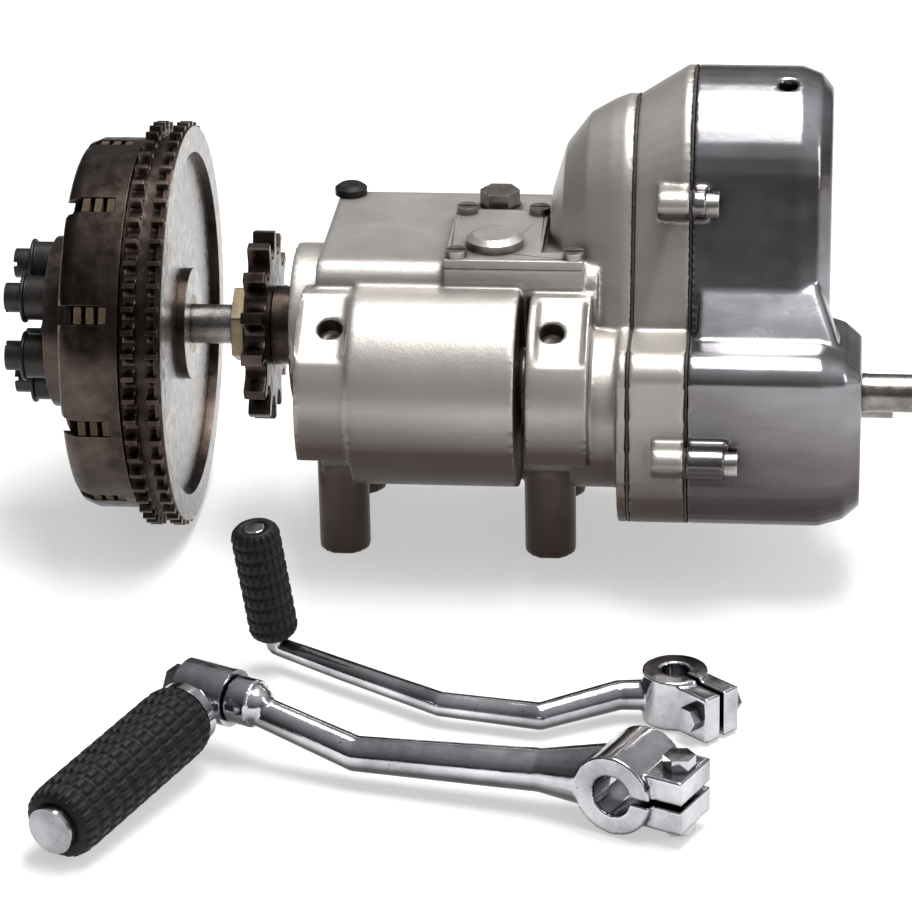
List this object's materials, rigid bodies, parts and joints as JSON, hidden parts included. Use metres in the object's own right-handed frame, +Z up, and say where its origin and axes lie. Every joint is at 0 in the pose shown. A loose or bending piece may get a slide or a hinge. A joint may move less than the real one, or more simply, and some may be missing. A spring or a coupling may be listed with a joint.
{
  "type": "motorcycle gearbox",
  "caption": "Separate motorcycle gearbox with wet multi-plate clutch, final drive sprocket, polished end cover, and a loose folding kick lever and gear lever.",
  "frame": {"origin": "centre of the four lug bolt holes, on the plane that the lugs stand on", "axes": "+X along the shafts from the clutch to the end cover, +Y to the rear, +Z up"},
  "size_m": [0.3935, 0.4076, 0.203],
  "materials": {
    "cast_case": "warm grey paint over cast aluminium, lightly rough",
    "polished_cover": "polished cast aluminium with dull streaks",
    "gasket": "oiled gasket paper",
    "bright_fastener": "plated, slightly worn",
    "dark_plug": "black, semi gloss",
    "bearing_steel": "ground",
    "bronze": "oiled",
    "seal_rubber": "oiled rubber",
    "oily_steel": "dark, oily, worn bright on the edges",
    "shaft_steel": "turned steel, oily",
    "black_cup": "black, satin",
    "friction_lining": "pressed lining",
    "gear_steel": "ground and oiled",
    "chrome": "chromed, a little dull",
    "black_rubber": "moulded, ribbed",
    "nut_plate": "zinc plated, yellowish"
  },
  "bodies": {
    "casing": {"gearbox_shell": "cast_case", "inner_cover": "cast_case", "outer_cover": "polished_cover", "shell_gasket": "gasket", "cover_gasket": "gasket", "inspection_cover": "cast_case", "inspection_screws": "bright_fastener", "cover_screws": "bright_fastener", "filler_plug": "cast_case", "top_plug": "bright_fastener", "drain_plug": "bright_fastener", "breather_cap": "dark_plug", "sleeve_bearing": "bearing_steel", "mainshaft_bearing": "bearing_steel", "oil_seal": "seal_rubber", "shaft_bushes": "bronze", "fork_rod": "bearing_steel", "detent_plunger": "bearing_steel", "clutch_arm_pin": "bearing_steel", "centering_spring": "oily_steel"},
    "mainshaft": {"mainshaft": "shaft_steel", "clutch_hub": "oily_steel", "hub_nut": "oily_steel", "steel_plates": "oily_steel", "spring_studs": "shaft_steel", "spring_nuts": "black_cup"},
    "clutch_drum": {"clutch_drum": "oily_steel", "friction_plates": "friction_lining", "drum_bush": "bronze"},
    "pressure_plate": {"pressure_plate": "oily_steel", "spring_cups": "black_cup", "clutch_springs": "oily_steel"},
    "pushrod": {"pushrod": "bearing_steel"},
    "clutch_arm": {"clutch_arm": "oily_steel"},
    "sleeve": {"sleeve_gear": "gear_steel", "final_sprocket": "oily_steel", "sprocket_nut": "nut_plate"},
    "layshaft": {"layshaft": "shaft_steel"},
    "main_second_gear": {"main_second_gear": "gear_steel"},
    "main_third_gear": {"main_third_gear": "gear_steel"},
    "lay_first_gear": {"lay_first_gear": "gear_steel"},
    "lay_second_gear": {"lay_second_gear": "gear_steel"},
    "lay_third_gear": {"lay_third_gear": "gear_steel"},
    "selector_drum": {"selector_drum": "shaft_steel"},
    "third_fork": {"third_fork": "bronze"},
    "second_fork": {"second_fork": "bronze"},
    "gear_spindle": {"gear_spindle": "shaft_steel"},
    "kick_shaft": {"kick_shaft": "shaft_steel", "kick_ratchet": "oily_steel", "kick_spring": "oily_steel"},
    "kick_lever": {"kick_lever": "chrome", "kick_lever_bolt": "chrome", "pedal_pivot_pin": "chrome"},
    "kick_pedal": {"kick_pedal": "chrome", "kick_pedal_rubber": "black_rubber"},
    "gear_lever": {"gear_lever": "chrome", "gear_lever_bolt": "chrome", "gear_lever_rubber": "black_rubber"}
  },
  "joints": [
    {"name": "mainshaft_spin", "type": "hinge", "parent": "casing", "child": "mainshaft", "pos_m": [0, 0, 0.089], "axis": [1, 0, 0], "continuous": true},
    {"name": "clutch_drum_spin", "type": "hinge", "parent": "casing", "child": "clutch_drum", "pos_m": [0, 0, 0.089], "axis": [1, 0, 0], "continuous": true},
    {"name": "sleeve_spin", "type": "hinge", "parent": "casing", "child": "sleeve", "pos_m": [0, 0, 0.089], "axis": [1, 0, 0], "continuous": true},
    {"name": "layshaft_spin", "type": "hinge", "parent": "casing", "child": "layshaft", "pos_m": [0, -0.04764, 0.08315], "axis": [1, 0, 0], "continuous": true},
    {"name": "main_second_gear_spin", "type": "hinge", "parent": "casing", "child": "main_second_gear", "pos_m": [0, 0, 0.089], "axis": [1, 0, 0], "continuous": true},
    {"name": "lay_third_gear_spin", "type": "hinge", "parent": "casing", "child": "lay_third_gear", "pos_m": [0, -0.04764, 0.08315], "axis": [1, 0, 0], "continuous": true},
    {"name": "lay_first_gear_spin", "type": "hinge", "parent": "casing", "child": "lay_first_gear", "pos_m": [0, -0.04764, 0.08315], "axis": [1, 0, 0], "continuous": true},
    {"name": "third_gear_slide", "type": "slide", "parent": "mainshaft", "child": "main_third_gear", "axis": [1, 0, 0], "range_m": [-0.002, 0.002]},
    {"name": "second_gear_slide", "type": "slide", "parent": "layshaft", "child": "lay_second_gear", "axis": [1, 0, 0], "range_m": [-0.002, 0.002]},
    {"name": "selector_drum_turn", "type": "hinge", "parent": "casing", "child": "selector_drum", "pos_m": [0, 0.016, 0.05], "axis": [1, 0, 0], "range_deg": [-45, 45]},
    {"name": "third_fork_slide", "type": "slide", "parent": "casing", "child": "third_fork", "axis": [1, 0, 0], "range_m": [-0.002, 0.002]},
    {"name": "second_fork_slide", "type": "slide", "parent": "casing", "child": "second_fork", "axis": [1, 0, 0], "range_m": [-0.002, 0.002]},
    {"name": "clutch_arm_swing", "type": "hinge", "parent": "casing", "child": "clutch_arm", "pos_m": [0.114, 0, 0.079], "axis": [0, -1, 0], "range_deg": [0, 14], "stiffness_Nm_per_rad": 0.5, "springref_deg": -17.19},
    {"name": "pushrod_slide", "type": "slide", "parent": "casing", "child": "pushrod", "axis": [1, 0, 0], "range_m": [-0.0024, 0]},
    {"name": "pressure_plate_lift", "type": "slide", "parent": "mainshaft", "child": "pressure_plate", "axis": [1, 0, 0], "range_m": [-0.0024, 0], "deforming": ["clutch_springs"]},
    {"name": "gear_spindle_rock", "type": "hinge", "parent": "casing", "child": "gear_spindle", "pos_m": [0, 0.016, 0.05], "axis": [1, 0, 0], "range_deg": [-14, 14], "stiffness_Nm_per_rad": 1.2, "deforming": ["centering_spring"]},
    {"name": "kick_shaft_turn", "type": "hinge", "parent": "casing", "child": "kick_shaft", "pos_m": [0, -0.04764, 0.08315], "axis": [1, 0, 0], "range_deg": [0, 75], "stiffness_Nm_per_rad": 2, "springref_deg": -28.65, "deforming": ["kick_spring"]},
    {"name": "kick_lever_lift", "type": "slide", "parent": "casing", "child": "kick_lever", "axis": [0, 0, 1], "range_m": [0, 0.25]},
    {"name": "kick_pedal_fold", "type": "hinge", "parent": "kick_lever", "child": "kick_pedal", "pos_m": [-0.07374, -0.21895, 0.024], "axis": [-0.9048, 0.4258, 0], "range_deg": [0, 90]},
    {"name": "gear_lever_lift", "type": "slide", "parent": "casing", "child": "gear_lever", "axis": [0, 0, 1], "range_m": [0, 0.25]}
  ],
  "couplings": [
    {"joint": "clutch_drum_spin", "follows": "mainshaft_spin", "ratio": 1},
    {"joint": "lay_third_gear_spin", "follows": "mainshaft_spin", "ratio": -1},
    {"joint": "lay_first_gear_spin", "follows": "mainshaft_spin", "ratio": -0.5},
    {"joint": "layshaft_spin", "follows": "sleeve_spin", "ratio": -1.4},
    {"joint": "main_second_gear_spin", "follows": "sleeve_spin", "ratio": 1.96},
    {"joint": "third_gear_slide", "follows": "third_fork_slide", "ratio": 1},
    {"joint": "second_fork_slide", "follows": "third_fork_slide", "ratio": -1},
    {"joint": "second_gear_slide", "follows": "third_fork_slide", "ratio": -1},
    {"joint": "selector_drum_turn", "follows": "third_fork_slide", "rad_per_m": 392.7},
    {"joint": "pressure_plate_lift", "follows": "pushrod_slide", "ratio": 1},
    {"joint": "clutch_arm_swing", "follows": "pushrod_slide", "rad_per_m": -101.23}
  ]
}
